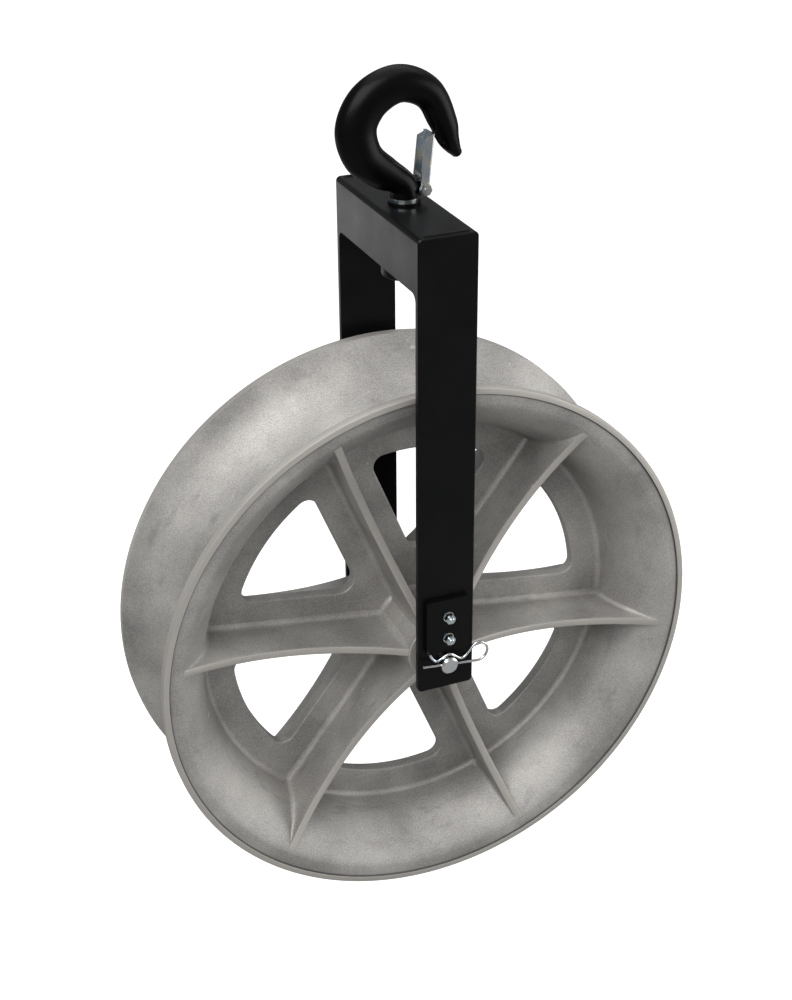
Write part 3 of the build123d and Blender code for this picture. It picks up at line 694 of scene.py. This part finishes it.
def lug(shell, px, pz):
    """Ear on the neck that carries the latch pin, with rounded rims and a drilled hole."""
    half = LUG_HALF
    profile = [(LUG_HOLE_R, -half), (LUG_R - LUG_EDGE, -half), (LUG_R - LUG_BEVEL, -half + LUG_BEVEL),
               (LUG_R, -half + LUG_EDGE), (LUG_R, half - LUG_EDGE),
               (LUG_R - LUG_BEVEL, half - LUG_BEVEL), (LUG_R - LUG_EDGE, half), (LUG_HOLE_R, half)]
    turn_about(shell, px, pz, profile, LUG_ROUND)
    back = px - LUG_ROOT
    clear = LUG_HOLE_R + 1
    for z_low, z_high in ((pz - LUG_R, pz - clear), (pz + clear, pz + LUG_R)):
        ring = [(back, z_low), (px, z_low), (px, z_high), (back, z_high)]
        near = [shell.point((x * MM, -half * MM, z * MM)) for x, z in ring]
        far = [shell.point((x * MM, half * MM, z * MM)) for x, z in ring]
        shell.grid([near, far], wrap_v=True)
        shell.faces.append(tuple(near))
        shell.faces.append(tuple(reversed(far)))


def turn_about(shell, px, pz, profile, count):
    """Turn a closed section of (radius, y) points about a cross axis in the hook's plane."""
    rows = []
    for k in range(count):
        a = 2 * pi * k / count
        row = []
        for r, y in profile:
            row.append(shell.point(((px + r * cos(a)) * MM, y * MM, (pz + r * sin(a)) * MM)))
        rows.append(row)
    shell.grid(rows, wrap_u=True, wrap_v=True)


def shank(shell):
    """Turned shank down through the swivel to its nut."""
    profile = [(0.01, SHANK_BASE), (SHANK_R - SHANK_EDGE, SHANK_BASE),
               (SHANK_R, SHANK_BASE + SHANK_EDGE), (SHANK_R, NECK_TOP - 5)]
    rows = []
    for k in range(HOOK_ROUND):
        a = 2 * pi * k / HOOK_ROUND
        rows.append([shell.point((r * cos(a) * MM, r * sin(a) * MM, z * MM)) for r, z in profile])
    shell.grid(rows, wrap_u=True)


# ---------------------------------------------------------------- weld seams
BEAD_R = 1.7                # mm
BEAD_INSET = 9.0            # mm, from the end of the joint
RIPPLE_PITCH = 0.55         # of the radius
FIRST_SEED = 3


def weld_ripple_nodes(material):
    """Geometry nodes: overlapping lens-shaped ripples along a line, as a laid weld bead."""
    tree = bpy.data.node_groups.new("weld_ripples", "GeometryNodeTree")
    face = tree.interface
    face.new_socket("Geometry", in_out="OUTPUT", socket_type="NodeSocketGeometry")
    inputs = (("Start", "NodeSocketVector", (0, 0, 0)), ("End", "NodeSocketVector", (0, 0, 0)),
              ("Count", "NodeSocketInt", 40), ("Radius", "NodeSocketFloat", BEAD_R * MM),
              ("Seed", "NodeSocketInt", FIRST_SEED))
    for name, kind, value in inputs:
        socket = face.new_socket(name, in_out="INPUT", socket_type=kind)
        socket.default_value = value
    nodes, links = tree.nodes, tree.links
    source = nodes.new("NodeGroupInput")
    out = nodes.new("NodeGroupOutput")
    line = nodes.new("GeometryNodeMeshLine")
    line.mode = "END_POINTS"
    links.new(source.outputs["Count"], line.inputs["Count"])
    links.new(source.outputs["Start"], line.inputs["Start Location"])
    links.new(source.outputs["End"], line.inputs["Offset"])
    ball = nodes.new("GeometryNodeMeshIcoSphere")
    ball.inputs["Subdivisions"].default_value = 3
    links.new(source.outputs["Radius"], ball.inputs["Radius"])
    size = nodes.new("FunctionNodeRandomValue")
    size.data_type = "FLOAT_VECTOR"
    size.inputs[0].default_value = (0.80, 0.82, 0.72)
    size.inputs[1].default_value = (1.12, 1.0, 0.98)
    links.new(source.outputs["Seed"], size.inputs["Seed"])
    spread = nodes.new("GeometryNodeInstanceOnPoints")
    links.new(line.outputs["Mesh"], spread.inputs["Points"])
    links.new(ball.outputs["Mesh"], spread.inputs["Instance"])
    links.new(size.outputs[0], spread.inputs["Scale"])
    real = nodes.new("GeometryNodeRealizeInstances")
    links.new(spread.outputs["Instances"], real.inputs["Geometry"])
    paint = nodes.new("GeometryNodeSetMaterial")
    paint.inputs["Material"].default_value = material
    links.new(real.outputs["Geometry"], paint.inputs["Geometry"])
    links.new(paint.outputs["Geometry"], out.inputs["Geometry"])
    return tree


def weld_run(tree, start, end, radius, seed):
    """One bead between two points in mm, made plain mesh."""
    mesh = bpy.data.meshes.new("run")
    holder = bpy.data.objects.new("run", mesh)
    bpy.context.scene.collection.objects.link(holder)
    ripple = holder.modifiers.new("ripples", "NODES")
    ripple.node_group = tree
    length = (Vector(end) - Vector(start)).length
    wanted = {"Start": [v * MM for v in start], "End": [v * MM for v in end],
              "Count": int(length / (radius * RIPPLE_PITCH)), "Radius": radius * MM, "Seed": seed}
    for item in tree.interface.items_tree:
        if item.in_out == "INPUT" and item.name in wanted:
            ripple[item.identifier] = wanted[item.name]
    holder.update_tag()
    graph = bpy.context.evaluated_depsgraph_get()
    done = bpy.data.meshes.new_from_object(holder.evaluated_get(graph))
    bpy.data.objects.remove(holder)
    return done


def make_welds():
    """Beads over the two top joints between channel and side plates."""
    tree = weld_ripple_nodes(COAT)
    top_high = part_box("frame_top")[1]
    half_x = top_high[0] / MM
    joint_y = top_high[1] / MM
    top_z = top_high[2] / MM
    joined = bmesh.new()
    for n, sign in enumerate((-1, 1)):
        start = (-half_x + BEAD_INSET, sign * joint_y, top_z)
        end = (half_x - BEAD_INSET, sign * joint_y, top_z)
        bead = weld_run(tree, start, end, BEAD_R, FIRST_SEED + n)
        joined.from_mesh(bead)
        bpy.data.meshes.remove(bead)
    mesh = bpy.data.meshes.new("weld_seams")
    joined.to_mesh(mesh)
    joined.free()
    mesh.materials.clear()
    mesh.materials.append(COAT)
    for face in mesh.polygons:
        face.use_smooth = True
        face.material_index = 0
    obj = bpy.data.objects.new("weld_seams", mesh)
    bpy.context.scene.collection.objects.link(obj)
    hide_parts("weld_beads")
    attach(obj, "frame")


# ---------------------------------------------------------------- stage
VIEW_AZ = -22.46
VIEW_EL = 28.09
VIEW_ROLL = -0.45
VIEW_AIM = Vector((-0.01132, 0.0, 0.14394))
VIEW_DISTANCE = 1.8502
VIEW_LENS = 61.67
SKY_SEEN = 1.05
SKY_LIGHT = 0.27
FLOOR_HALF = 6.0
FLOOR_DROP = 0.25
# name, place, aim and size in metres, power in watts
LIGHTS = (
    ("key", (-1.45, -1.45, 2.4), (0, 0, 0.1), (2.3, 2.3), 98),
    ("top", (0.5, 0.5, 2.8), (0, 0, 0), (3.0, 3.0), 46),
    ("right_fill", (2.8, -1.3, 0.5), (0, 0, 0), (2.2, 2.4), 54),
    ("back_card", (-1.1, 2.0, -0.7), (-0.1, 0, 0.1), (1.8, 1.2), 9),
)


def make_camera():
    az, el, roll = radians(VIEW_AZ), radians(VIEW_EL), radians(VIEW_ROLL)
    back = Vector((sin(az) * cos(el), -cos(az) * cos(el), sin(el)))
    right = Vector((cos(az), sin(az), 0))
    up = back.cross(right)
    right, up = right * cos(roll) + up * sin(roll), up * cos(roll) - right * sin(roll)
    data = bpy.data.cameras.new("camera")
    data.sensor_fit = "VERTICAL"
    data.sensor_height = 36.0
    data.lens = VIEW_LENS
    camera = bpy.data.objects.new("camera", data)
    turn = Matrix((right, up, back)).transposed().to_4x4()
    camera.matrix_world = Matrix.Translation(VIEW_AIM + back * VIEW_DISTANCE) @ turn
    bpy.context.scene.collection.objects.link(camera)
    bpy.context.scene.camera = camera


def area_light(name, place, aim, size, power):
    data = bpy.data.lights.new(name, "AREA")
    data.shape = "RECTANGLE"
    data.size, data.size_y = size
    data.energy = power
    light = bpy.data.objects.new(name, data)
    light.visible_camera = False
    light.location = place
    light.rotation_euler = (Vector(aim) - Vector(place)).to_track_quat("-Z", "Y").to_euler()
    bpy.context.scene.collection.objects.link(light)


def make_world():
    """White behind the object, and a softer light on it."""
    world = bpy.data.worlds.new("studio")
    bpy.context.scene.world = world
    world.use_nodes = True
    tree = world.node_tree
    tree.nodes.clear()
    out = tree.nodes.new("ShaderNodeOutputWorld")
    seen = tree.nodes.new("ShaderNodeBackground")
    seen.inputs["Color"].default_value = (1, 1, 1, 1)
    seen.inputs["Strength"].default_value = SKY_SEEN
    lit = tree.nodes.new("ShaderNodeBackground")
    lit.inputs["Color"].default_value = (0.97, 0.985, 1, 1)
    lit.inputs["Strength"].default_value = SKY_LIGHT
    ray = tree.nodes.new("ShaderNodeLightPath")
    blend = tree.nodes.new("ShaderNodeMixShader")
    tree.links.new(ray.outputs["Is Camera Ray"], blend.inputs[0])
    tree.links.new(lit.outputs[0], blend.inputs[1])
    tree.links.new(seen.outputs[0], blend.inputs[2])
    tree.links.new(blend.outputs[0], out.inputs["Surface"])


def make_floor():
    """Pale floor under the sheave, far enough down that the block hangs clear."""
    height = CAD_BOX[0][2] - FLOOR_DROP
    mesh = bpy.data.meshes.new("floor")
    corners = [(-1, -1), (1, -1), (1, 1), (-1, 1)]
    mesh.from_pydata([(x * FLOOR_HALF, y * FLOOR_HALF, height) for x, y in corners], [], [(0, 1, 2, 3)])
    mesh.materials.append(plain_floor())
    floor = bpy.data.objects.new("floor", mesh)
    bpy.context.scene.collection.objects.link(floor)


def make_stage():
    make_camera()
    make_world()
    make_floor()
    for light in LIGHTS:
        area_light(*light)
    bpy.context.scene.view_settings.view_transform = "Standard"


finish_nodes()
make_sheave()
make_hook()
make_welds()
make_stage()
